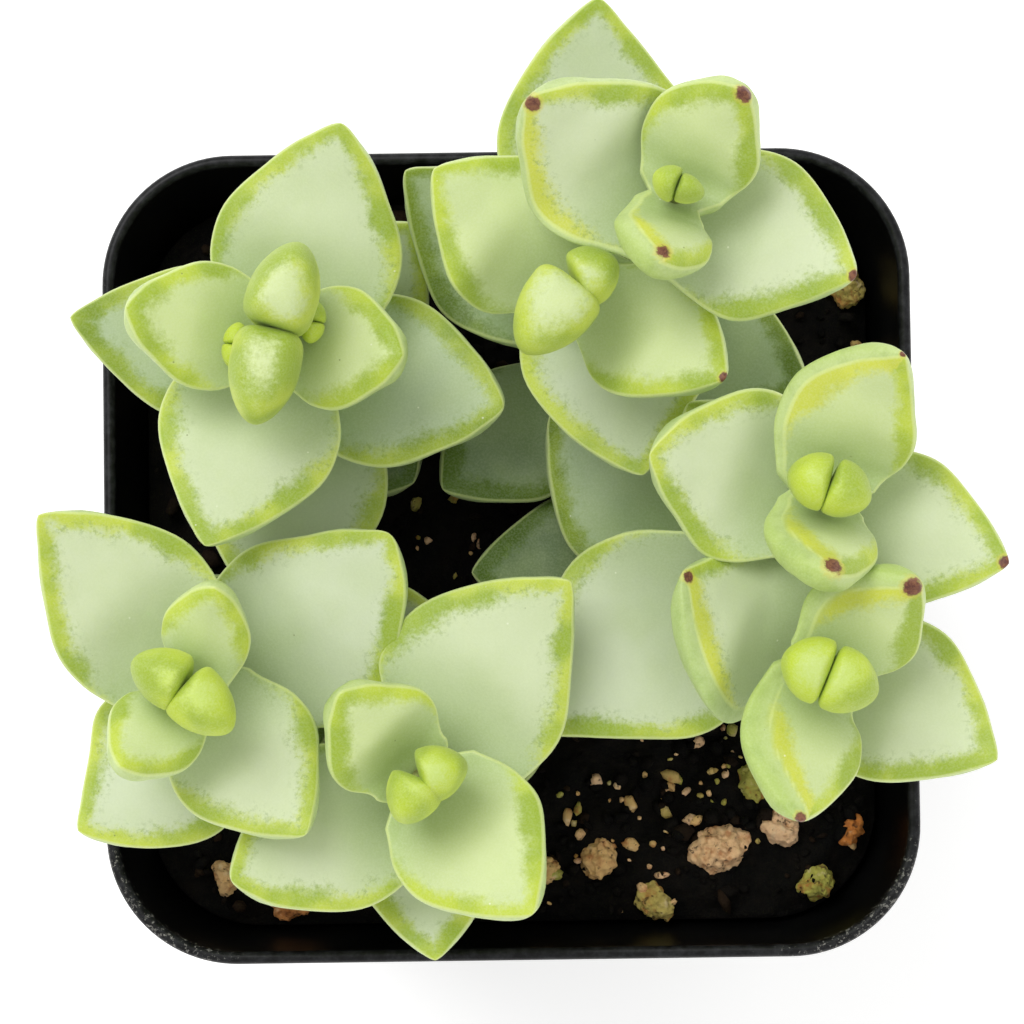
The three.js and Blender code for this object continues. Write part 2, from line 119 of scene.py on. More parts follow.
class Graph:
    """Short names for building one material's nodes."""

    def __init__(self, name):
        self.material = bpy.data.materials.new(name)
        self.material.use_nodes = True
        self.tree = self.material.node_tree
        self.shader = self.tree.nodes["Principled BSDF"]
        self.place = self.node("ShaderNodeTexCoord").outputs["Object"]

    def node(self, kind, **settings):
        made = self.tree.nodes.new(kind)
        for key, value in settings.items():
            setattr(made, key, value)
        return made

    def put(self, socket, value):
        if isinstance(value, bpy.types.NodeSocket):
            self.tree.links.new(value, socket)
        else:
            socket.default_value = value

    def attribute(self, name):
        return self.node("ShaderNodeAttribute", attribute_name=name).outputs["Fac"]

    def math(self, operation, a, b=0.0, clamp=False):
        made = self.node("ShaderNodeMath", operation=operation, use_clamp=clamp)
        self.put(made.inputs[0], a)
        self.put(made.inputs[1], b)
        return made.outputs[0]

    def noise(self, size_mm, detail=2.0, roughness=0.5, stretch=None):
        """Noise with features of about this size, from 0 to 1."""
        made = self.node("ShaderNodeTexNoise")
        made.inputs["Scale"].default_value = 1 / (size_mm * MM)
        made.inputs["Detail"].default_value = detail
        made.inputs["Roughness"].default_value = roughness
        where = self.place
        if stretch:
            mapping = self.node("ShaderNodeMapping")
            mapping.inputs["Scale"].default_value = stretch
            self.put(mapping.inputs["Vector"], where)
            where = mapping.outputs[0]
        self.put(made.inputs["Vector"], where)
        return made.outputs["Fac"]

    def cells(self, size_mm):
        """Distance from the middle of the nearest random cell, in cell sizes, and its random colour."""
        made = self.node("ShaderNodeTexVoronoi")
        made.inputs["Scale"].default_value = 1 / (size_mm * MM)
        self.put(made.inputs["Vector"], self.place)
        return made.outputs["Distance"], made.outputs["Color"]

    def step(self, value, low, high):
        """0 below low, 1 above high, smooth between; low may be the larger."""
        made = self.node("ShaderNodeMapRange", interpolation_type="SMOOTHSTEP")
        self.put(made.inputs["Value"], value)
        self.put(made.inputs["From Min"], min(low, high))
        self.put(made.inputs["From Max"], max(low, high))
        made.inputs["To Min"].default_value = 0.0 if low < high else 1.0
        made.inputs["To Max"].default_value = 1.0 if low < high else 0.0
        return made.outputs["Result"]

    def mix(self, share, a, b, blend="MIX"):
        made = self.node("ShaderNodeMix", data_type="RGBA", blend_type=blend)
        self.put(made.inputs[0], share)
        self.put(made.inputs[6], a)
        self.put(made.inputs[7], b)
        return made.outputs[2]

    def bump(self, height, distance_mm, strength=1.0):
        made = self.node("ShaderNodeBump")
        made.inputs["Distance"].default_value = distance_mm * MM
        made.inputs["Strength"].default_value = strength
        self.put(made.inputs["Height"], height)
        return made.outputs["Normal"]

    def finish(self, colour, roughness, normal=None, **sockets):
        self.put(self.shader.inputs["Base Color"], colour)
        self.put(self.shader.inputs["Roughness"], roughness)
        if normal is not None:
            self.put(self.shader.inputs["Normal"], normal)
        for key, value in sockets.items():
            self.shader.inputs[key.replace("_", " ")].default_value = value
        return self.material


def leaf_material():
    g = Graph("crassula_leaf")
    edge, top, along = g.attribute("edge_mm"), g.attribute("top"), g.attribute("along")
    young, pale_and_lit = g.attribute("young"), g.attribute("pale_and_lit")
    stripe, brown_mark = g.attribute("stripe"), g.attribute("brown_mark")
    broad, patch = g.noise(4.5, 2), g.noise(1.6, 3, 0.6)
    speckle, grain = g.noise(0.3, 3, 0.7), g.noise(0.14, 2, 0.6)

    def centred(value, amount):
        return g.math("MULTIPLY", g.math("SUBTRACT", value, 0.5), amount)

    # The margin band: it wanders in width, fades out at the leaf's foot, and breaks up where it ends.
    reach = g.math("ADD", edge, g.math("ADD", centred(broad, 2.2), centred(patch, 1.5)))
    reach = g.math("ADD", reach, g.math("MULTIPLY", g.step(along, 0.45, 0.08), 1.8))
    broken = g.math("ADD", reach, centred(speckle, 1.5))
    band = g.step(broken, 2.05, 0.75)
    # Top face: a powdery centre, greener and darker towards the stem, partly its own colour and partly
    # painted shade under the pairs above.
    # Lower pairs are darker here: partly their own older green, partly painted shade where they lie low.
    centre = g.mix(g.step(pale_and_lit, 0.0, 0.5), linear(98, 122, 74), linear(172, 190, 150))
    centre = g.mix(g.step(pale_and_lit, 0.5, 1.0), centre, linear(206, 216, 184))
    centre = g.mix(g.step(young, 0.1, 0.6), centre, linear(206, 220, 156))
    centre = g.mix(g.step(young, 0.6, 1.0), centre, linear(194, 215, 96))
    centre = g.mix(g.math("MULTIPLY", g.step(broad, 0.35, 0.7), 0.3), centre, linear(184, 200, 142))
    # Greener and darker at the foot: the leaf's own greener base, and painted shade where the stem and upper
    # pairs shade it.
    centre = g.mix(g.math("MULTIPLY", g.step(along, 0.5, 0.1), 0.55), centre, linear(142, 170, 96))
    # Their margins and undersides go darker too: own colour and painted shade.
    margin = g.mix(g.step(pale_and_lit, 0.0, 0.9), linear(86, 116, 16), linear(168, 189, 50))
    yellowing = g.math("MULTIPLY", g.step(broad, 0.35, 0.65), g.step(pale_and_lit, 0.2, 1.0))
    margin = g.mix(g.math("MULTIPLY", yellowing, 0.75), margin, linear(198, 210, 78))
    margin = g.mix(g.step(young, 0.3, 1.0), margin, linear(186, 207, 44))
    older = g.mix(g.step(pale_and_lit, 0.9, 0.3), linear(142, 168, 48), linear(78, 106, 18))
    margin = g.mix(g.math("MULTIPLY", g.step(broad, 0.6, 0.35), 0.7), margin, older)
    margin = g.mix(g.math("MULTIPLY", stripe, 0.65), margin, linear(216, 218, 84))
    upper = g.mix(band, centre, margin)
    # Dark green specks, thickest where the band gives way to the powder.
    border = g.math("MULTIPLY", g.step(reach, 0.3, 1.2), g.step(reach, 2.9, 1.3))
    specks = g.math("MULTIPLY", g.step(g.noise(0.42, 4, 0.75), 0.5, 0.66), border)
    specks = g.math("MULTIPLY", specks, g.step(young, 0.9, 0.2))
    upper = g.mix(g.math("MULTIPLY", specks, 0.5), upper, linear(120, 148, 52))
    # Underside: plainer, with a paler edge.
    under = g.mix(g.step(pale_and_lit, 0.0, 0.9), linear(92, 116, 52), linear(172, 194, 116))
    under = g.mix(g.step(young, 0.4, 1.0), under, linear(180, 204, 66))
    under = g.mix(g.math("MULTIPLY", g.step(edge, 1.5, 0.2), 0.6), under, linear(200, 216, 150))
    under = g.mix(g.math("MULTIPLY", g.step(patch, 0.45, 0.7), 0.3), under, linear(136, 164, 70))
    colour = g.mix(top, under, upper)
    # A thin pale line right along the edge: painted highlight, for light shining through the leaf's thin rim.
    colour = g.mix(g.math("MULTIPLY", g.step(edge, 0.22, 0.05), 0.45), colour, linear(220, 231, 156))
    colour = g.mix(g.math("MULTIPLY", g.step(grain, 0.35, 0.7), 0.12), colour, linear(228, 236, 208))
    # Pale dots of dust, small pits, and the brown marks some tips carry.
    far, which = g.cells(1.5)
    chosen = g.node("ShaderNodeSeparateColor")
    g.put(chosen.inputs[0], which)
    dust = g.math("MULTIPLY", g.step(far, 0.06, 0.03), g.step(chosen.outputs[0], 0.8, 0.84))
    colour = g.mix(g.math("MULTIPLY", dust, 0.55), colour, linear(240, 243, 226))
    pit = g.math("MULTIPLY", g.step(far, 0.055, 0.03), g.step(chosen.outputs[1], 0.9, 0.93))
    colour = g.mix(g.math("MULTIPLY", pit, 0.6), colour, linear(104, 118, 56))
    brown = g.mix(g.step(speckle, 0.35, 0.65), linear(92, 48, 42), linear(134, 88, 62))
    ragged = g.math("ADD", brown_mark, centred(speckle, 0.5))
    halo = g.math("MULTIPLY", g.step(ragged, 0.25, 0.5), 0.5)
    colour = g.mix(halo, colour, linear(206, 196, 84))
    colour = g.mix(g.step(ragged, 0.48, 0.66), colour, brown)
    height = g.math("ADD", g.math("MULTIPLY", grain, 0.35), g.noise(0.9, 2))
    roughness = g.math("ADD", g.math("MULTIPLY", g.noise(0.6, 2), 0.14), 0.44)
    return g.finish(
        colour,
        roughness,
        g.bump(height, 0.05, 0.5),
        Subsurface_Weight=0.15,
        Subsurface_Radius=(0.9, 1.0, 0.35),
        Subsurface_Scale=0.0014,
        Sheen_Weight=0.08,
        Sheen_Roughness=0.5,
        Specular_IOR_Level=0.4,
    )


def stem_material():
    g = Graph("crassula_stem")
    streak = g.noise(0.6, 4, 0.6, stretch=(1, 1, 0.25))
    patch = g.noise(2.2, 3)
    colour = g.mix(g.step(streak, 0.35, 0.65), linear(112, 122, 62), linear(162, 168, 98))
    colour = g.mix(g.math("MULTIPLY", g.step(patch, 0.45, 0.7), 0.7), colour, linear(122, 92, 58))
    height = g.math("ADD", streak, g.math("MULTIPLY", patch, 0.6))
    return g.finish(colour, g.math("ADD", g.math("MULTIPLY", patch, 0.3), 0.5), g.bump(height, 0.15))


def soil_material():
    g = Graph("potting_soil")
    tint = g.attribute("tint")
    coarse, fine = g.noise(1.8, 4, 0.7), g.noise(0.3, 4, 0.75)
    colour = g.mix(g.step(coarse, 0.35, 0.75), linear(5, 5, 4), linear(20, 16, 12))
    colour = g.mix(g.math("MULTIPLY", g.step(fine, 0.6, 0.8), 0.4), colour, linear(44, 34, 24))
    colour = g.mix(g.step(tint, 0.7, 1.0), colour, linear(40, 28, 17))
    far, _ = g.cells(0.9)
    height = g.math("ADD", g.math("MULTIPLY", fine, 0.8), g.math("MULTIPLY", far, -0.7))
    roughness = g.math("ADD", g.math("MULTIPLY", fine, 0.3), 0.6)
    return g.finish(colour, roughness, g.bump(height, 0.3), Specular_IOR_Level=0.12)


def grit_material():
    g = Graph("pumice")
    tint = g.attribute("tint")
    fine, patch = g.noise(0.22, 4, 0.75), g.noise(1.1, 3, 0.6)
    green, tan = linear(176, 172, 76), linear(232, 188, 122)
    pink, rust = linear(246, 202, 156), linear(214, 132, 58)
    base = g.mix(g.step(tint, 0.1, 0.35), green, tan)
    base = g.mix(g.step(tint, 0.4, 0.7), base, pink)
    base = g.mix(g.step(tint, 0.75, 0.95), base, rust)
    base = g.mix(g.math("MULTIPLY", g.step(patch, 0.5, 0.7), 0.75), base, linear(178, 104, 48))
    base = g.mix(g.math("MULTIPLY", g.step(patch, 0.45, 0.28), 0.5), base, linear(244, 220, 180))
    # Pits, dented in the bump and darkened in colour: painted shade in them.
    holes = g.step(g.noise(0.5, 3, 0.6), 0.6, 0.68)
    base = g.mix(g.math("MULTIPLY", holes, 0.7), base, linear(84, 52, 28))
    base = g.mix(g.math("MULTIPLY", g.step(fine, 0.6, 0.75), 0.5), base, linear(58, 40, 24))
    height = g.math("SUBTRACT", fine, holes)
    return g.finish(base, g.math("ADD", g.math("MULTIPLY", fine, 0.2), 0.72), g.bump(height, 0.2))


def pot_material(rim_z):
    g = Graph("black_pot_plastic")
    split = g.node("ShaderNodeSeparateXYZ")
    g.put(split.inputs[0], g.place)
    x, y, z = split.outputs
    fine, cloud, wear_and_highlight = g.noise(0.25, 3, 0.7), g.noise(7.0, 4, 0.6), g.noise(0.9, 4, 0.75)
    colour = g.mix(g.step(cloud, 0.35, 0.75), linear(4, 4, 5), linear(13, 13, 14))
    # The top of the rim is lighter, broken up by noise: painted highlight. The same noise also roughens the
    # bump.
    rim = g.math("MULTIPLY", g.step(z, rim_z - 0.5 * MM, rim_z - 0.1 * MM), g.step(wear_and_highlight, 0.35, 0.75))
    colour = g.mix(g.math("MULTIPLY", rim, 0.55), colour, linear(58, 59, 62))
    # Pale dust and scuffs on the edge, and, thickest at the front corners, painted highlight.
    corner = g.math("MULTIPLY", g.math("ABSOLUTE", x), g.math("MULTIPLY", y, -1.0))
    corner = g.math("MULTIPLY", g.step(corner, 420e-6, 640e-6), g.step(z, rim_z - 1.5 * MM, rim_z - 0.2 * MM))
    dust_and_highlight = g.math("ADD", g.noise(0.35, 4, 0.8), g.math("MULTIPLY", corner, 0.14))
    dust_and_highlight = g.step(dust_and_highlight, 0.7, 0.74)
    colour = g.mix(g.math("MULTIPLY", dust_and_highlight, 0.7), colour, linear(150, 148, 142))
    height = g.math("ADD", g.math("MULTIPLY", fine, 0.5), g.math("MULTIPLY", wear_and_highlight, 0.5))
    roughness = g.math("ADD", g.math("MULTIPLY", cloud, 0.25), 0.26)
    roughness = g.math("ADD", roughness, g.math("MULTIPLY", dust_and_highlight, 0.4))
    return g.finish(colour, roughness, g.bump(height, 0.03, 0.5), Specular_IOR_Level=0.22)


# ------------------------------------------------------------------ mesh helpers
def welded(node):
    """A CAD node's mesh with its split corners joined again, as a bmesh."""
    made = bmesh.new()
    made.from_mesh(NODES[node].data)
    bmesh.ops.remove_doubles(made, verts=made.verts, dist=0.004 * MM)
    made.verts.ensure_lookup_table()
    return made


def new_object(name, mesh, material):
    mesh.materials.append(material)
    mesh.shade_smooth()
    made = bpy.data.objects.new(name, mesh)
    bpy.context.scene.collection.objects.link(made)
    return made


def grid_object(name, grids, material):
    """One object of closed skins, each a grid (rows, columns, 3) that ends in single points."""
    whole = bmesh.new()
    values = {}
    for points, attributes in grids:
        rows, columns = points.shape[:2]
        flat = np.vstack([points[0, :1], points[1:-1].reshape(-1, 3), points[-1, :1]])
        verts = [whole.verts.new(p) for p in flat]

        def at(r, c):
            if r == 0:
                return verts[0]
            return verts[-1] if r == rows - 1 else verts[1 + (r - 1) * columns + c % columns]

        faces = []
        for r in range(rows - 1):
            for c in range(columns):
                corners = (at(r, c), at(r, c + 1), at(r + 1, c + 1), at(r + 1, c))
                faces.append(whole.faces.new(dict.fromkeys(corners)))
        for face in faces:
            face.normal_update()
        volume = sum(f.calc_center_median().dot(f.normal) * f.calc_area() for f in faces)
        if volume < 0:
            bmesh.ops.reverse_faces(whole, faces=faces)
        for key, value in attributes.items():
            flat = np.concatenate([value[0, :1], value[1:-1].ravel(), value[-1, :1]])
            values.setdefault(key, []).append(flat)
    mesh = bpy.data.meshes.new(name)
    whole.to_mesh(mesh)
    whole.free()
    for key, parts in values.items():
        layer = mesh.attributes.new(key, "FLOAT", "POINT")
        layer.data.foreach_set("value", np.concatenate(parts).astype(np.float32))
    return new_object(name, mesh, material)


def hermite(knots, values, tangents, at):
    """Cubic Hermite through values (n, ...) at increasing knots, sampled at each of at."""
    i = np.clip(np.searchsorted(knots, at, side="right") - 1, 0, len(knots) - 2)
    span = knots[i + 1] - knots[i]
    t = (at - knots[i]) / span
    shape = (-1,) + (1,) * (values.ndim - 1)
    t, span = t.reshape(shape), span.reshape(shape)
    return (
        (2 * t**3 - 3 * t**2 + 1) * values[i]
        + (t**3 - 2 * t**2 + t) * span * tangents[i]
        + (3 * t**2 - 2 * t**3) * values[i + 1]
        + (t**3 - t**2) * span * tangents[i + 1]
    )


def inner_tangents(knots, values):
    """Smooth tangents at the inner knots; the two ends are left at their one-sided slopes."""
    gaps = np.diff(knots).reshape((-1,) + (1,) * (values.ndim - 1))
    slopes = np.diff(values, axis=0) / gaps
    tangents = np.empty_like(values)
    tangents[1:-1] = (slopes[:-1] * gaps[1:] + slopes[1:] * gaps[:-1]) / (gaps[1:] + gaps[:-1])
    tangents[0], tangents[-1] = slopes[0], slopes[-1]
    return tangents


def sample_knots(knots, counts):
    pieces = [np.linspace(a, b, n, endpoint=False) for a, b, n in zip(knots[:-1], knots[1:], counts)]
    return np.concatenate(pieces + [knots[-1:]])


# ------------------------------------------------------------------ leaves
SIDES = 10  # points round a leaf's section in the CAD mesh: 0 and 5 are its edges
ROWS = 5  # sections between a tip and the stem
AROUND = [9, 4, 4, 4, 9, 9, 4, 4, 4, 9]  # points made for each of its sides
ALONG = [9, 6, 6, 6, 6, 7, 6, 6, 6, 6, 9]  # rows made from each section to the next, tip to tip
JOINT_ROW = sum(ALONG[:ROWS]) + ALONG[ROWS] / 2  # where the two leaves meet


def rings_from_tip(tip):
    """The sections between a leaf's tip and the stem, each as SIDES vertices in matching order."""
    fan = [edge.other_vert(tip) for edge in tip.link_edges]
    ring = [fan[0]]
    while len(ring) < SIDES:
        ring.append(
            next(v for e in ring[-1].link_edges if (v := e.other_vert(ring[-1])) in fan and v not in ring)
        )
    seen = {tip, *ring}
    rings = [ring]
    for _ in range(ROWS - 1):
        beyond = [{e.other_vert(v) for e in v.link_edges} - seen for v in rings[-1]]
        options = []
        for shift in (1, -1):
            shared = [beyond[i] & beyond[(i + shift) % SIDES] for i in range(SIDES)]
            options.append([next(iter(s)) for s in shared])
        miss = lambda option: sum((a.co - b.co).length for a, b in zip(option, rings[-1]))
        rings.append(min(options, key=miss))
        seen |= set(rings[-1])
    return np.array([[v.co[:] for v in r] for r in rings])


def leaf_sections(node):
    """A leaf pair's sections from tip to tip, as (12, 10, 3), edges at 0 and 5, top face between."""
    mesh = welded(node)
    tips = sorted((v for v in mesh.verts if len(v.link_edges) == SIDES), key=lambda v: v.co.z)
    a, b = max(((p, q) for p in tips for q in tips), key=lambda pq: (pq[0].co - pq[1].co).length)
    first, second = rings_from_tip(a), rings_from_tip(b)
    width = np.linalg.norm(first - np.roll(first, SIDES // 2, axis=1), axis=2)[:ROWS - 1].sum(0)
    first = np.roll(first, -int(np.argmax(width)), axis=1)
    chord_mid = (first[:, 0] + first[:, SIDES // 2]) / 2
    upper = first[:-1, 1 : SIDES // 2].mean(1) - chord_mid[:-1]
    lower = first[:-1, SIDES // 2 + 1 :].mean(1) - chord_mid[:-1]
    if np.linalg.norm(upper, axis=1).sum() > np.linalg.norm(lower, axis=1).sum():
        first = first[:, [-k % SIDES for k in range(SIDES)]]
    best = None
    for turn in (1, -1):
        for shift in range(SIDES):
            order = [(turn * k + shift) % SIDES for k in range(SIDES)]
            miss = np.linalg.norm(first[-1] - second[-1][order], axis=1).sum()
            if best is None or miss < best[0]:
                best = (miss, order)
    second = second[:, best[1]]
    sections = np.concatenate([first, second[::-1]])
    ends = [np.tile(np.array(v.co[:]), (1, SIDES, 1)) for v in (a, b)]
    mesh.free()
    return np.concatenate([ends[0], sections, ends[1]])


TIP_ROUND = 0.62  # 0 gives a sharp tip, 1 a domed one
TIP_SHORTER = 0.3 * MM  # how far a rounded tip stops short of a sharp one
TIP_SHARE = 0.4  # and at most this share of the way to its first section
DOME = 0.13  # how far a full leaf's top face bulges above its edges, by half-width
DOME_BY_ROW = [0, 0.6, 1, 1, 1]  # from the stem outwards
WIDER_BY_ROW = [1.25, 1.12, 1.03, 1, 1]  # than the CAD section
SLENDER, BROAD = 5.5, 10.5  # widths in mm between which a leaf goes from round to flat
FOLLOW = np.array([1, 0.5, 0.07, 0.07, 0.5, 1, 0.55, 0.08, 0.08, 0.55])  # a section's share in the cup
EDGE_FILL = np.array([0, 0, 0, 0, 0, 0, 1, 0.25, 0.25, 1])  # and in the filling out below its edges
ROUND = np.exp(2j * np.pi * np.arange(SIDES) / SIDES)  # a section gone fully round


def leaf_width(sections):
    return max(np.linalg.norm(ring[0] - ring[SIDES // 2]) for ring in sections) / MM


def heading_of(tip, middle):
    return math.degrees(math.atan2(tip[1] - middle[1], tip[0] - middle[0]))


def same_leaf(heading, where):
    """Whether this is the leaf of its pair that points this way."""
    return abs((heading - where + 180) % 360 - 180) < 60


def plump(sections, blunt):
    """The sections with domed top faces and full edges, slender leaves rounder, and the tips less sharp.

    blunt is how many mm each of the two tips stops short, beyond the usual.
    """
    made = sections.copy()
    widths = [leaf_width(sections[1 : ROWS + 1]), leaf_width(sections[ROWS + 1 : -1])]
    for k in range(1, 2 * ROWS + 1):
        ring = sections[k]
        row = min(abs(k - ROWS), abs(k - ROWS - 1))
        chord = (ring[0] - ring[SIDES // 2]) / 2
        half = np.linalg.norm(chord)
        middle = (ring[0] + ring[SIDES // 2]) / 2
        up = ring[1:5].mean(0) - ring[6:10].mean(0)
        up -= chord * (up @ chord) / half**2
        up /= np.linalg.norm(up)
        midrib, keel = (ring[2] + ring[3]) / 2, (ring[7] + ring[8]) / 2
        sag, depth = max(0, (middle - midrib) @ up), (midrib - keel) @ up
        lift = (sag + DOME * half) * DOME_BY_ROW[row] * (1 - FOLLOW)
        made[k] += lift[:, None] * up
        outward = (made[k] - middle) @ chord / half**2
        made[k] += (EDGE_FILL * 0.14 * outward)[:, None] * chord - (EDGE_FILL * 0.16 * depth)[:, None] * up
        slim = np.clip((BROAD - widths[k > ROWS]) / (BROAD - SLENDER), 0, 1)
        full = 0.6 * max(depth, 0.55 * half)
        heart = middle - up * full * 0.7
        round_ring = heart + ROUND.real[:, None] * chord + ROUND.imag[:, None] * full * up
        share = slim * (0.75 if row else 0.3)
        made[k] = made[k] * (1 - share) + round_ring * share
        made[k] += ((WIDER_BY_ROW[row] - 1) * ((made[k] - middle) @ chord) / half**2)[:, None] * chord
    for tip, near, extra in ((0, 1, blunt[0]), (-1, -2, blunt[1])):
        inward = made[near].mean(0) - made[tip, 0]
        gap = np.linalg.norm(inward)
        made[tip] += inward / gap * min(TIP_SHORTER + extra * MM, TIP_SHARE * gap)
    return made


def leaf_surface(sections, blunt):
    """A smooth grid through the sections, whose first and last are single points."""
    middle = sections.mean(1)
    gaps = np.linalg.norm(np.diff(middle, axis=0), axis=1)
    knots = np.concatenate([[0], np.cumsum(gaps)])
    tangents = inner_tangents(knots, sections)
    across = np.roll(sections, SIDES // 2, axis=1)
    for end, near, gap, extra in ((0, 1, gaps[0], blunt[0]), (-1, -2, -gaps[-1], blunt[1])):
        dome = (sections[near] - across[near]) / (2 * gap)
        domed = min(1, TIP_ROUND + 0.5 * extra)
        tangents[end] = (1 - domed) * tangents[end] + domed * dome
    rows = hermite(knots, sections, tangents, sample_knots(knots, ALONG))
    gap = np.linalg.norm(np.roll(sections, -1, axis=1) - sections, axis=2)[1:-1].mean(0)
    around = np.concatenate([[0], np.cumsum(gap)])
    before, after = [-gap[-2] - gap[-1], -gap[-1]], [around[-1] + gap[0], around[-1] + gap[0] + gap[1]]
    loop_knots = np.concatenate([before, around, after])
    looped = np.concatenate([rows[:, -2:], rows, rows[:, :3]], axis=1).transpose(1, 0, 2)
    places = sample_knots(around, AROUND)[:-1]
    return hermite(loop_knots, looped, inner_tangents(loop_knots, looped), places).transpose(1, 0, 2)


CREASE_REACH = 0.9  # mm either side of the joint
CREASE_PINCH = 0.3  # how much narrower the pair is there
CREASE_DROP = 0.35 * MM


def creased(grid):
    """The pair's surface pinched in and down where its two leaves meet."""
    middle = grid.mean(1)
    away = np.linalg.norm(middle - middle[int(JOINT_ROW)], axis=1) / MM
    near = np.clip(1 - away / CREASE_REACH, 0, 1)[:, None, None]
    pinched = middle[:, None] + (grid - middle[:, None]) * (1 - CREASE_PINCH * near)
    return pinched - near * (0, 0, CREASE_DROP)


def smooth_noise(points, size, seed):
    offset = Vector((seed * 3.1, seed * 1.7, seed * 2.3))
    flat = points.reshape(-1, 3)
    return np.array([noise.noise(Vector(p) / size + offset) for p in flat]).reshape(points.shape[:-1])


def face_attributes(grid, inset):
    """For each point of a grid: mm to the leaf's edge, 1 on the top face, and 0 at the stem to 1 at a tip.

    Where an edge is rolled under, inset moves it in from the outline, by mm for each row: above 0
    from the first column, below 0 from the one opposite.
    """
    rows, columns = grid.shape[:2]
    step = np.linalg.norm(np.roll(grid, -1, axis=1) - grid, axis=2)
    walk = np.concatenate([np.zeros((rows, 1)), np.cumsum(step, axis=1)[:, :-1]], axis=1)
    whole = np.maximum(step.sum(1, keepdims=True), 1e-9)
    half = sum(AROUND[: SIDES // 2])
    inset = np.broadcast_to(inset, rows)[:, None] * MM
    first, second = np.maximum(inset, 0), walk[:, half : half + 1] + np.minimum(inset, 0)
    far = [np.abs((walk - line + whole / 2) % whole - whole / 2) for line in (first, second)]
    edge = np.minimum(*far) / MM
    above = (walk >= first) & (walk <= second)
    top = np.clip(0.5 + (above - 0.5) * edge / 0.15, 0, 1)
    along = np.abs(np.arange(rows) - JOINT_ROW) / max(JOINT_ROW, rows - 1 - JOINT_ROW)
    stripe = np.where(inset > 0, far[0] < far[1], far[1] < far[0]) * (inset != 0)
    return {
        "edge_mm": edge,
        "top": top,
        "along": np.tile(along[:, None], (1, columns)),
        "stripe": stripe * 1.0,
    }


def rolled_edge(node, sections, rows):
    """For each row of the grid, how far in from its outline the leaf's rolled edge lies, in mm."""
    inset = np.zeros(rows)
    middle = sections[ROWS : ROWS + 2].mean((0, 1))
    joint = int(JOINT_ROW)
    for name, where, side, depth in ROLLED:
        for tip, ring, mine in ((0, 3, slice(0, joint)), (-1, -4, slice(joint + 1, rows))):
            lead = sections[tip, 0] - middle
            if name != node or not same_leaf(heading_of(sections[tip, 0], middle), where):
                continue
            across = sections[ring, 0] - sections[ring, SIDES // 2]
            on_left = lead[0] * across[1] - lead[1] * across[0] > 0
            count = len(range(*mine.indices(rows)))
            swing = np.sin(np.pi * np.linspace(0.06, 0.94, count)) ** 0.7
            inset[mine] = (depth if on_left == (side > 0) else -depth) * swing
    return inset


def swollen(grid, edge, scale, seed):
    """The grid with the slight swellings of a living leaf."""
    du, dv = np.gradient(grid, axis=0), np.roll(grid, -1, axis=1) - np.roll(grid, 1, axis=1)
    normal = np.cross(du, dv)
    length = np.linalg.norm(normal, axis=2, keepdims=True)
    normal = np.where(length > 1e-12, normal / np.maximum(length, 1e-12), 0)
    outward = ((grid - grid.mean(1, keepdims=True)) * normal).sum()
    height = 0.1 * scale * smooth_noise(grid, 3.2 * MM, seed) + 0.03 * smooth_noise(grid, 1.1 * MM, seed + 5)
    height *= np.clip(edge / 0.5, 0.15, 1) * math.copysign(1, outward)
    height[0] = height[-1] = 0
    return grid + normal * (height * MM)[..., None]


def brown_marks(node, grid, tip, middle):
    """How brown each point is, from the marks on the leaf that ends at this tip."""
    heading = heading_of(tip, middle)
    amount = np.zeros(grid.shape[:2])
    for name, where, radius, back in MARKS:
        if name == node and same_leaf(heading, where):
            inward = (middle - tip) / np.linalg.norm(middle - tip)
            away = np.linalg.norm(grid - tip - inward * back * MM, axis=2) / MM
            amount = np.maximum(amount, np.clip(1.1 - 0.5 * away / radius, 0, 1))
    return amount


BUD_WAIST = 0.6  # how far up a bud leaf is broadest
BUD_FOOT = 0.5  # how broad its foot is, as a share of that
BUD_POINT = 0.2  # how much narrower it gets towards its tip
BUD_DOME, BUD_WALL = 2.3, 4  # how square its outer and inner shoulders are, where 2 is round
BUD_GRID = 30, 44  # rows and columns
BUD_SUNK = 0.5 * MM  # how far a bud's foot goes into its stem
SHOOT_SUNK = 0.9 * MM  # how far a side shoot goes below its CAD shape, to meet the leaf it grows from
UNDER_BUD = 1.5 * MM, 2 * MM  # how far a bud's own stem can be from its foot, sideways and down


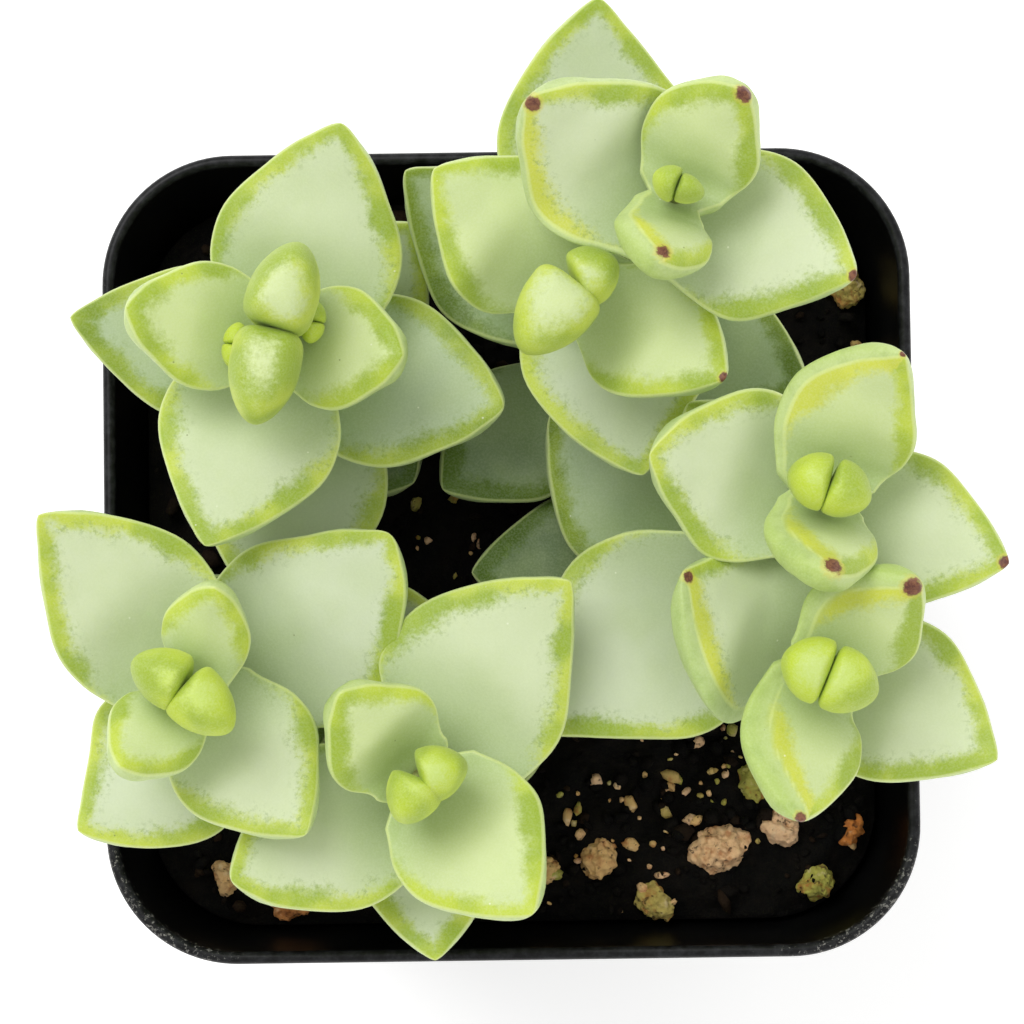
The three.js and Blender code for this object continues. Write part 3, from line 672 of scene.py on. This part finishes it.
def bud_lobe(tip, foot, low, reach, width, inner_bulge):
    """One leaf of a bud, as a grid from its foot to its top, and how far in from its outline each row is.

    It is a plump pad on a narrower foot, drawn out to a soft point. The side pressed against the other leaf
    is flatter, by inner_bulge, and stays upright until near the top.
    """
    out = (tip - foot) * (1, 1, 0)
    out /= np.linalg.norm(out)
    side = np.cross((0, 0, 1), out)
    rows, columns = BUD_GRID
    turn = np.linspace(0, 2 * np.pi, columns, endpoint=False)
    x, y = np.cos(turn), np.sin(turn)
    squared = np.where(x < 0, 0.5, 1)
    x, y = np.sign(x) * np.abs(x) ** squared, np.sign(y) * np.abs(y) ** squared
    y = y * (1 - BUD_POINT * np.maximum(x, 0) ** 2)
    core = reach * inner_bulge / (1 + inner_bulge)
    sizes = []
    grid = np.empty((rows, columns, 3))
    for r in range(rows):
        rise = (1 - math.cos(math.pi * r / (rows - 1))) / 2
        dome = max(0, (rise - BUD_WAIST) / (1 - BUD_WAIST))
        below = BUD_FOOT + (1 - BUD_FOOT) * math.sin(math.pi / 2 * min(1, rise / BUD_WAIST))
        closing = min(1, r / 3)
        size = below * (1 - dome**BUD_DOME) ** (1 / BUD_DOME) * closing
        wall = below * (1 - dome**BUD_WALL) ** 0.5 * closing
        reaches = np.where(x > 0, x * (reach - core) * size, x * core * wall)
        plan = (core * below + reaches)[:, None] * out + y[:, None] * width * 0.5 * size * side
        grid[r] = foot * (1, 1, 0) + plan + np.array((0, 0, low + (tip[2] - low) * rise))
        sizes.append(size if rise > BUD_WAIST else 1)
    return grid, (1 - np.array(sizes)) * min(width / 2, reach / 2)


def stem_points():
    """Every corner of the CAD stems, as (n, 3)."""
    points = []
    for node in NODES:
        if node.startswith("stem_"):
            mesh = welded(node)
            points += [v.co[:] for v in mesh.verts]
            mesh.free()
    return np.array(points)


STEMS = stem_points()


def bud_base(foot, lowest):
    """How low a bud has to start to grow out of its stem, or a side shoot out of its leaf."""
    aside, down = UNDER_BUD
    near = np.linalg.norm(STEMS[:, :2] - foot[:2], axis=1) < aside
    under = STEMS[near & (STEMS[:, 2] < lowest)]
    if len(under) == 0 or lowest - under[:, 2].max() > down:
        return lowest - SHOOT_SUNK
    return under[:, 2].max() - BUD_SUNK


# Buds: how much longer and wider their leaves are than in CAD, and how far the inner sides bulge.
BUD_SHAPE = (1.2, 1.08, 0.3)
BUD_SHAPES = {
    "bud_back_left": (1.25, 0.84, 0.6),
    "bud_back_middle": (1.28, 1.14, 0.4),
    "bud_front_left": (1.3, 1.15, 0.3),
}
OPEN_BUDS = ("bud_back_left", "bud_back_middle")


def bud_grids(node, sections):
    """The two lobes of a bud with their attributes."""
    foot = sections[ROWS : ROWS + 2].mean((0, 1))
    low = bud_base(foot, sections[..., 2].min())
    longer, wider, bulge = BUD_SHAPES.get(node, BUD_SHAPE)
    leaves = (sections[0, 0], sections[1 : ROWS + 1]), (sections[-1, 0], sections[ROWS + 1 : -1])
    for tip, mine in leaves:
        reach = np.linalg.norm((tip - foot)[:2]) * longer
        grid, inset = bud_lobe(tip, foot, low, reach, leaf_width(mine) * wider * MM, bulge)
        yield grid, {
            "edge_mm": np.tile(0.3 + inset[:, None] / MM, (1, grid.shape[1])),
            "top": np.ones(grid.shape[:2]),
            "along": np.ones(grid.shape[:2]),
            "stripe": np.zeros(grid.shape[:2]),
        }


def leaf_piece(node, material, young, pale_and_lit, seed):
    sections = leaf_sections(node)
    width = leaf_width(sections)
    if node.startswith("leaves_"):
        middle = sections[ROWS : ROWS + 2].mean((0, 1))
        headings = [heading_of(sections[end, 0], middle) for end in (0, -1)]
        blunt = [sum(mm for n, where, mm in BLUNT if n == node and same_leaf(h, where)) for h in headings]
        sections = plump(sections, blunt)
        grid = leaf_surface(sections, blunt)
        grid = creased(grid)
        attributes = face_attributes(grid, rolled_edge(node, sections, len(grid)))
        marks = [brown_marks(node, grid, tip, middle) for tip in (grid[0, 0], grid[-1, 0])]
        attributes["brown_mark"] = np.maximum(*marks)
        grids = [(grid, attributes)]
    else:
        grids = list(bud_grids(node, sections))
    pieces = []
    for grid, attributes in grids:
        attributes.setdefault("brown_mark", np.zeros(grid.shape[:2]))
        attributes["young"] = np.full(grid.shape[:2], young)
        attributes["pale_and_lit"] = np.full(grid.shape[:2], pale_and_lit)
        pieces.append((swollen(grid, attributes["edge_mm"], min(1, width / 10), seed), attributes))
    return grid_object(f"{node}_skin", pieces, material)


# Leaves with rounder ends than the rest: node, heading of the leaf, and how far it stops short, in mm.
BLUNT = [
    ("leaves_front_left_2", 42, 0.9),
    ("leaves_front_3", -150, 0.6),
    ("leaves_front_4", 133, 0.9),
    ("leaves_back_left_3", -15, 0.4),
    ("leaves_back_left_4", 73, 0.3),
    ("leaves_back_left_5", 170, 0.4),
    ("leaves_back_left_5", -11, 0.3),
    ("leaves_back_right_1", 145, 0.5),
    ("leaves_right_back_3", -87, 0.4),
    ("leaves_right_back_2", 165, 0.3),
]
# Edges that are rolled under: node, heading of the leaf, 1 for its left edge or -1 for its right, and mm.
ROLLED = [
    ("leaves_back_right_1", 145, 1, 0.5),
    ("leaves_back_right_2", -104, -1, 1.2),
    ("leaves_right_back_3", 59, 1, 0.9),
    ("leaves_right_back_3", -87, -1, 1.5),
    ("leaves_right_front_1", 149, 1, 1.3),
    ("leaves_right_front_2", 42, 1, 1.4),
    ("leaves_right_front_2", -100, -1, 2.0),
]
# Brown marks on leaf tips: node, heading of the leaf, size, and how far back from the tip, in mm.
MARKS = [
    ("leaves_back_right_1", 145, 0.5, 0.5),
    ("leaves_back_right_1", -22, 0.4, 0.1),
    ("leaves_back_right_2", 53, 0.6, 0.2),
    ("leaves_back_right_2", -104, 0.5, 0.8),
    ("leaves_back_middle_1", -36, 0.35, 0.1),
    ("leaves_right_back_2", -19, 0.45, 0.2),
    ("leaves_right_back_3", -87, 0.6, 0.8),
    ("leaves_right_back_3", 59, 0.25, 0.0),
    ("leaves_right_front_1", 149, 0.4, 0.5),
    ("leaves_right_front_2", 42, 0.6, 0.6),
    ("leaves_right_front_2", -100, 0.4, 0.2),
]
# How young a pair is, by how many leaf pairs of its head are above it.
YOUNG = [0.62, 0.28, 0.08, 0]
# How pale the lower pairs are, the rest at 1: partly their own older, duller colour, partly painted shade on
# pairs that lie low and in shadow.
PALE_AND_LIT = {
    "leaves_back_left_1": 0.1,
    "leaves_back_left_2": 0.8,
    "leaves_back_left_3": 0.6,
    "leaves_back_left_4": 0.85,
    "leaves_front_left_1": 0.2,
    "leaves_front_1": 0.15,
    "leaves_back_1": 0.2,
    "leaves_back_2": 0.35,
    "leaves_back_3": 0.85,
    "leaves_right_1": 0.1,
    "leaves_right_2": 0.4,
    "leaves_right_back_1": 0.6,
}


def add_leaves():
    leaf = leaf_material()
    for seed, node in enumerate(sorted(n for n in NODES if n.startswith(("leaves_", "bud_", "side_shoot")))):
        young = 0.6 if node in OPEN_BUDS else 1
        if node.startswith("leaves_"):
            head, number = node.rsplit("_", 1)
            last = max(int(n.rsplit("_", 1)[1]) for n in NODES if n.rsplit("_", 1)[0] == head)
            on_trunk = head in ("leaves_back", "leaves_right")
            young = 0 if on_trunk else YOUNG[min(last - int(number), len(YOUNG) - 1)]
        piece = leaf_piece(node, leaf, young, PALE_AND_LIT.get(node, 1), seed)
        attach(piece, "root")
        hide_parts(node)


# ------------------------------------------------------------------ stems
def apply_modifiers(made):
    depsgraph = bpy.context.evaluated_depsgraph_get()
    mesh = bpy.data.meshes.new_from_object(made.evaluated_get(depsgraph))
    made.modifiers.clear()
    made.data = mesh


def displace(mesh, height):
    """Moves each point along its normal by height(point) in mm, which is given the point in mm."""
    places, normals = np.empty(len(mesh.vertices) * 3), np.empty(len(mesh.vertices) * 3)
    mesh.vertices.foreach_get("co", places)
    mesh.vertices.foreach_get("normal", normals)
    places, normals = places.reshape(-1, 3), normals.reshape(-1, 3)
    rise = np.array([height(Vector(p / MM)) for p in places])
    mesh.vertices.foreach_set("co", (places + normals * rise[:, None] * MM).ravel())
    mesh.update()


BARK_GRAIN = 0.24 * MM
BARK_RELIEF = 0.09  # mm


def bark(p):
    return BARK_RELIEF * noise.noise(Vector((p.x, p.y, p.z * 0.4)) / 0.7)


def add_stems():
    material = stem_material()
    for node in sorted(n for n in NODES if n.startswith("stem_")):
        mesh = bpy.data.meshes.new(f"{node}_bark")
        body = welded(node)
        body.to_mesh(mesh)
        body.free()
        piece = new_object(f"{node}_bark", mesh, material)
        remesh = piece.modifiers.new("even", "REMESH")
        remesh.mode = "VOXEL"
        remesh.voxel_size = BARK_GRAIN
        soften = piece.modifiers.new("soften", "SMOOTH")
        soften.iterations = 4
        apply_modifiers(piece)
        displace(piece.data, bark)
        piece.data.shade_smooth()
        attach(piece, "root")
        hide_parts(node)


# ------------------------------------------------------------------ soil, grit and stones
SOIL_TOP = 48.6 * MM
SOIL_SIDE = 2.2 * MM  # how far below its top the soil's side starts to fall straight to the bottom
SOIL_TAPER = 0.775  # its bottom, by the width of its top
SOIL_RINGS, SOIL_ROUND = 96, 256  # rings of points over its top, and points in each
SOIL_SAG = 0.8 * MM  # how much lower it lies against the pot
RELIEF = 0.55 * MM
CORNER_SHARE = 0.307  # corner radius of the soil's outline, as a share of its half-width


def lumps(x, y):
    """Height of the soil above its mean level."""
    x, y = x / MM, y / MM
    wave = math.sin(0.61 * x + 1.1) * math.cos(0.53 * y - 0.4) + 0.6 * math.sin(1.13 * x - 0.9 * y + 2)
    return RELIEF * (wave + 0.3)


def outline(half, count, corner=None):
    """Points round a rounded square."""
    corner = corner or half * CORNER_SHARE
    straight = half - corner
    points = []
    for side in range(4):
        turn = side * math.pi / 2
        for i in range(count // 8):
            angle = turn + i / (count // 8) * math.pi / 2
            x = straight * (math.cos(turn) - math.sin(turn)) + corner * math.cos(angle)
            y = straight * (math.sin(turn) + math.cos(turn)) + corner * math.sin(angle)
            points.append((x, y))
        end = (
            straight * (math.cos(turn) - math.sin(turn)) - corner * math.sin(turn),
            straight * (math.sin(turn) + math.cos(turn)) + corner * math.cos(turn),
        )
        after = turn + math.pi / 2
        start = (
            straight * (math.cos(after) - math.sin(after)) + corner * math.cos(after),
            straight * (math.sin(after) + math.cos(after)) + corner * math.sin(after),
        )
        for i in range(count // 8):
            share = i / (count // 8)
            points.append(tuple(a + (b - a) * share for a, b in zip(end, start)))
    return points


def crumbly(x, y):
    """The soil's crumbs: raised cells of several sizes."""
    height = 0
    for size, amount in ((3.2, 0.5), (1.3, 0.42), (0.55, 0.2)):
        near, _ = noise.voronoi(Vector((x, y, size * MM)) / (size * MM))
        height += amount * (0.42 - near[0])
    return height * MM


def add_soil():
    low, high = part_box("soil")
    rim = outline(high.x, SOIL_ROUND)
    rows = SOIL_RINGS
    vertices, faces = [], []
    foot = outline((high.x - low.x) / 2 * SOIL_TAPER, SOIL_ROUND)
    columns = len(rim)
    for ring, z in ((foot, low.z), (rim, SOIL_TOP - SOIL_SIDE)):
        vertices += [(x, y, z) for x, y in ring]
    for r in range(rows):
        share = 1 - r / rows
        for x, y in rim:
            at = x * share, y * share
            edge = min(1, (1 - share) * 12)
            vertices.append((*at, SOIL_TOP + edge * lumps(*at) + crumbly(*at) - (1 - edge) * SOIL_SAG))
    for r in range(rows + 1):
        for c in range(columns):
            n = (c + 1) % columns
            faces.append((r * columns + c, r * columns + n, (r + 1) * columns + n, (r + 1) * columns + c))
    top = len(vertices)
    vertices.append((0, 0, SOIL_TOP + lumps(0, 0)))
    bottom = len(vertices)
    vertices.append((0, 0, low.z))
    inner = (rows + 1) * columns
    for c in range(columns):
        n = (c + 1) % columns
        faces.append((inner + c, inner + n, top))
        faces.append((n, c, bottom))
    mesh = bpy.data.meshes.new("soil_bed")
    mesh.from_pydata(vertices, [], faces)
    mesh.update()
    mesh.attributes.new("tint", "FLOAT", "POINT")
    piece = new_object("soil_bed", mesh, SOIL)
    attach(piece, "root")
    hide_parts("soil")


SOIL_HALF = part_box("soil")[1].x


def inside_pot(x, y, margin):
    half = SOIL_HALF - margin
    corner = half * CORNER_SHARE
    dx, dy = max(0, abs(x) - (half - corner)), max(0, abs(y) - (half - corner))
    return abs(x) < half and abs(y) < half and math.hypot(dx, dy) < corner


def scatter(name, material, chips, detail):
    """One mesh of many rough chips: each is a place, half-sizes, tint and turn."""
    vertices, faces, tints = [], [], []
    ball = bmesh.new()
    bmesh.ops.create_icosphere(ball, subdivisions=detail, radius=1)
    shape = [v.co.copy() for v in ball.verts]
    triangles = [[v.index for v in f.verts] for f in ball.faces]
    ball.free()
    for number, (x, y, z, size, tint, turn) in enumerate(chips):
        spin = Matrix.Rotation(turn, 3, Vector((math.sin(number), math.cos(2 * number), 1.3)).normalized())
        first = len(vertices)
        for p in shape:
            bulge = 1 + 0.45 * noise.noise(p * 1.3 + Vector((number * 1.7, 0, 0)))
            bulge += 0.16 * noise.noise(p * 3.1 + Vector((0, number * 2.3, 0)))
            q = spin @ Vector(p * s for p, s in zip(p * bulge, size))
            vertices.append((x + q.x, y + q.y, z + q.z))
            tints.append(tint)
        faces += [[first + i for i in t] for t in triangles]
    mesh = bpy.data.meshes.new(name)
    mesh.from_pydata(vertices, [], faces)
    mesh.update()
    mesh.attributes.new("tint", "FLOAT", "POINT").data.foreach_set("value", tints)
    piece = new_object(name, mesh, material)
    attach(piece, "root")


def ground(x, y):
    return SOIL_TOP + lumps(x, y)


CRUMBS = 1500
CRUMB_SPAN = 26  # mm either side of the middle that crumbs are tried in


def add_crumbs():
    draw = random.Random(11)
    chips = []
    while len(chips) < CRUMBS:
        x = draw.uniform(-CRUMB_SPAN, CRUMB_SPAN) * MM
        y = draw.uniform(-CRUMB_SPAN, CRUMB_SPAN) * MM
        r = draw.choice((0.25, 0.3, 0.4, 0.5, 0.7)) * MM
        if inside_pot(x, y, r + 0.3 * MM):
            size = (r * draw.uniform(0.8, 1.5), r * draw.uniform(0.6, 1.1), r * draw.uniform(0.4, 0.8))
            chips.append((x, y, ground(x, y) + 0.3 * r, size, draw.random(), draw.uniform(0, 6)))
    scatter("soil_crumbs", SOIL, chips, 1)


# Where small tan bits lie thickest: middle, spread and how many.
DRIFTS = [
    ((8, -19), (7.5, 5), 60),
    ((15, -15), (3, 3), 16),
    ((-17, -23), (4, 2), 12),
    ((23, 14), (2, 6), 7),
    ((-3, -1), (4, 3), 8),
    ((-20, 22), (4, 3), 4),
    ((0, 0), (22, 22), 70),
]


def add_grit():
    draw = random.Random(5)
    chips = []
    for (cx, cy), (sx, sy), count in DRIFTS:
        placed = 0
        while placed < count:
            x, y = draw.gauss(cx, sx * 0.6) * MM, draw.gauss(cy, sy * 0.6) * MM
            r = draw.choice((0.12, 0.16, 0.2, 0.26, 0.36, 0.5)) * MM
            if inside_pot(x, y, r + 0.3 * MM):
                size = (r * draw.uniform(0.9, 1.5), r * draw.uniform(0.7, 1.1), r * draw.uniform(0.6, 0.9))
                chips.append((x, y, ground(x, y) + 0.45 * r, size, draw.uniform(0, 0.8), draw.uniform(0, 6)))
                placed += 1
    scatter("soil_grit", GRIT, chips, 2)


# From green at 0, through tan and pink, to rust at 1, for stones a to l.
STONE_TINTS = dict(zip("abcdefghijkl", (0.6, 0.45, 0.68, 0.9, 1.0, 0.12, 0.3, 0.62, 0.2, 0.05, 0.5, 0.2)))
STONE_LEVELS = 3  # times each CAD face is split before it is roughened


def pumice(p):
    knob = 0.34 * noise.noise(p * 0.95) + 0.26 * noise.noise(p * 2.2) + 0.08 * noise.noise(p * 5)
    near, _ = noise.voronoi(p * 1.7)
    return knob - 0.3 * max(0, 0.35 - near[0])


def add_stones():
    for node in sorted(n for n in NODES if n.startswith("stone_")):
        mesh = bpy.data.meshes.new(f"{node}_rough")
        body = welded(node)
        body.to_mesh(mesh)
        body.free()
        piece = new_object(f"{node}_rough", mesh, GRIT)
        rounder = piece.modifiers.new("rounder", "SUBSURF")
        rounder.levels = rounder.render_levels = STONE_LEVELS
        rounder.subdivision_type = "SIMPLE"
        ease = piece.modifiers.new("ease", "SMOOTH")
        ease.iterations = 3
        apply_modifiers(piece)
        displace(piece.data, pumice)
        tint = STONE_TINTS[node[-1]]
        values = piece.data.attributes.new("tint", "FLOAT", "POINT").data
        values.foreach_set("value", [tint] * len(values))
        piece.data.shade_smooth()
        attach(piece, "root")
        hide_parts(node)


# ------------------------------------------------------------------ pot
FOOT_HALF, FOOT_CORNER = 20.5 * MM, 6.5 * MM
RIM_CORNER = 9.2 * MM
WALL, BASE = 0.9 * MM, 1.4 * MM
LIP_DROP, LIP_OUT = 8 * MM, 0.5 * MM
RIM_THICK = 0.45 * MM  # half of the rounded rim's thickness
POT_ROUND = 192  # points round it
DRAIN_AT, DRAIN_RADIUS = 12.5 * MM, 2.4 * MM


def add_pot():
    height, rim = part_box("pot")[1].z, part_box("pot")[1].x

    def wall(z, out):
        share = z / height
        half = FOOT_HALF + (rim - LIP_OUT - FOOT_HALF) * share + out
        return half, FOOT_CORNER + (RIM_CORNER - FOOT_CORNER) * share + out, z

    # Half-width, corner radius and height: up the outside from foot to rim, then down the inside.
    lip = height - LIP_DROP
    profile = [wall(0, -0.5 * MM), wall(0.15 * MM, -0.15 * MM), wall(0.5 * MM, 0)]
    profile += [wall(z, 0) for z in np.linspace(0.04, 1, 12) * (lip - 0.6 * MM)]
    profile += [wall(lip - 0.3 * MM, 0.05 * MM), wall(lip - 0.05 * MM, LIP_OUT * 0.8)]
    profile += [wall(lip + 0.15 * MM, LIP_OUT)]
    profile += [(rim, RIM_CORNER, height - RIM_THICK)]
    for angle in np.linspace(0, math.pi, 9):
        half = rim - RIM_THICK + RIM_THICK * math.cos(angle)
        z = height - RIM_THICK + RIM_THICK * math.sin(angle)
        profile.append((half, RIM_CORNER - rim + half, z))
    profile += [wall(z, -WALL) for z in np.linspace(lip, BASE + 0.3 * MM, 12)]
    profile += [wall(BASE, -WALL - 0.3 * MM)]
    shell = bmesh.new()
    rings = []
    for half, corner, z in profile:
        rings.append([shell.verts.new((x, y, z)) for x, y in outline(half, POT_ROUND, corner)])
    count = len(rings[0])
    for a, b in zip(rings, rings[1:]):
        for c in range(count):
            shell.faces.new((a[c], a[(c + 1) % count], b[(c + 1) % count], b[c]))
    shell.faces.new(rings[0][::-1])
    shell.faces.new(rings[-1])
    mesh = bpy.data.meshes.new("pot_shell")
    shell.to_mesh(mesh)
    shell.free()
    piece = new_object("pot_shell", mesh, pot_material(height))
    for x in (-DRAIN_AT, DRAIN_AT):
        for y in (-DRAIN_AT, DRAIN_AT):
            size = {"radius": DRAIN_RADIUS, "depth": 6 * MM}
            bpy.ops.mesh.primitive_cylinder_add(vertices=32, location=(x, y, 0), **size)
            drill = bpy.context.object
            cut = piece.modifiers.new("drain", "BOOLEAN")
            cut.object, cut.solver = drill, "EXACT"
            apply_modifiers(piece)
            bpy.data.objects.remove(drill)
    piece.data.set_sharp_from_angle(angle=math.radians(35))
    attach(piece, "root")
    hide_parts("pot")


SOIL, GRIT = soil_material(), grit_material()

bpy.context.scene.view_settings.view_transform = "Standard"
add_camera()
add_world()
add_floor()
add_area_light("key", (-0.8, 0.9, 1.9), 1.5, 26)
add_area_light("fill", (1.1, -0.9, 1.5), 1.4, 5)
add_pot()
add_soil()
add_crumbs()
add_grit()
add_stones()
add_stems()
add_leaves()
